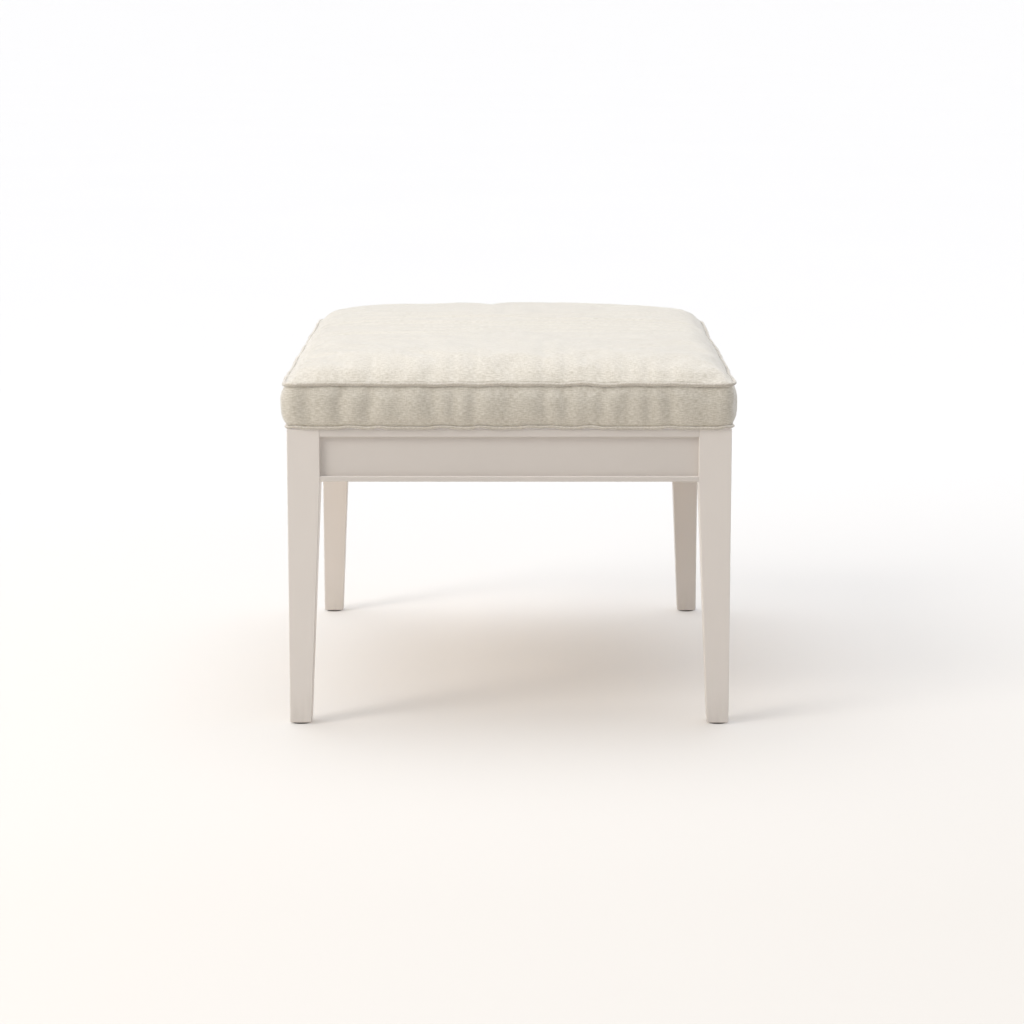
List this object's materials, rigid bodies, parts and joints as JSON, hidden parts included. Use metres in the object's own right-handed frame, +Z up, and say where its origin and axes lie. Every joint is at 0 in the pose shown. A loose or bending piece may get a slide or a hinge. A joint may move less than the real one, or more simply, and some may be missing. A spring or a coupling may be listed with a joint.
{
  "type": "piano bench",
  "caption": "Low rectangular bench on tapered painted legs, with recessed-panel aprons and a loose crowned box cushion with piped edges and a rear zip.",
  "frame": {"origin": "on the floor, under the middle of the frame", "axes": "+Z up, +Y along the bench towards the end with the cushion's zip, +X across the bench"},
  "size_m": [0.5782, 0.7684, 0.4868],
  "materials": {
    "frame_paint": "satin",
    "pine": "matte",
    "plywood": "matte",
    "zinc_steel": "satin",
    "glide_nylon": "matte",
    "foam": "matte",
    "fibre": "matte",
    "cover_cloth": "matte",
    "cotton_cord": "matte",
    "zip_tape": "matte",
    "zip_nylon": "satin",
    "zip_metal": "satin"
  },
  "bodies": {
    "bench_frame": {"apron_front": "frame_paint", "apron_left": "frame_paint", "apron_rear": "frame_paint", "apron_right": "frame_paint", "bolt_washers": "zinc_steel", "bottom_bead_front": "frame_paint", "bottom_bead_left": "frame_paint", "bottom_bead_rear": "frame_paint", "bottom_bead_right": "frame_paint", "centre_rail": "pine", "cleat_front": "pine", "cleat_left_front": "pine", "cleat_left_rear": "pine", "cleat_rear": "pine", "cleat_right_front": "pine", "cleat_right_rear": "pine", "cleat_screws": "zinc_steel", "corner_block_front_left": "pine", "corner_block_front_right": "pine", "corner_block_rear_left": "pine", "corner_block_rear_right": "pine", "corner_block_screws": "zinc_steel", "deck_screws": "zinc_steel", "glide_front_left": "glide_nylon", "glide_front_right": "glide_nylon", "glide_nails": "zinc_steel", "glide_rear_left": "glide_nylon", "glide_rear_right": "glide_nylon", "hanger_bolts": "zinc_steel", "hex_nuts": "zinc_steel", "leg_front_left": "frame_paint", "leg_front_right": "frame_paint", "leg_rear_left": "frame_paint", "leg_rear_right": "frame_paint", "seat_deck": "plywood", "top_bead_front": "frame_paint", "top_bead_left": "frame_paint", "top_bead_rear": "frame_paint", "top_bead_right": "frame_paint"},
    "cushion": {"bottom_welt": "cover_cloth", "bottom_welt_cord": "cotton_cord", "boxing_band": "cover_cloth", "cover_bottom": "cover_cloth", "cover_top": "cover_cloth", "fibre_pad_bottom": "fibre", "fibre_pad_top": "fibre", "foam_core": "foam", "top_welt": "cover_cloth", "top_welt_cord": "cotton_cord", "zip_band_lower": "cover_cloth", "zip_band_upper": "cover_cloth", "zip_chain_lower": "zip_nylon", "zip_chain_upper": "zip_nylon", "zip_stops": "zip_metal", "zip_tape_lower": "zip_tape", "zip_tape_upper": "zip_tape"},
    "zip_slider": {"zip_slider": "zip_metal"},
    "zip_pull": {"zip_pull": "zip_metal"}
  },
  "joints": [
    {"name": "cushion_lift", "type": "slide", "parent": "bench_frame", "child": "cushion", "axis": [0, 0, 1], "range_m": [0, 0.12]},
    {"name": "zip_slide", "type": "slide", "parent": "cushion", "child": "zip_slider", "axis": [-1, 0, 0], "range_m": [0, 0.46]},
    {"name": "zip_pull_swing", "type": "hinge", "parent": "zip_slider", "child": "zip_pull", "pos_m": [0.2312, 0.38315, 0.41785], "axis": [0, 0, -1], "range_deg": [0, 170]}
  ]
}
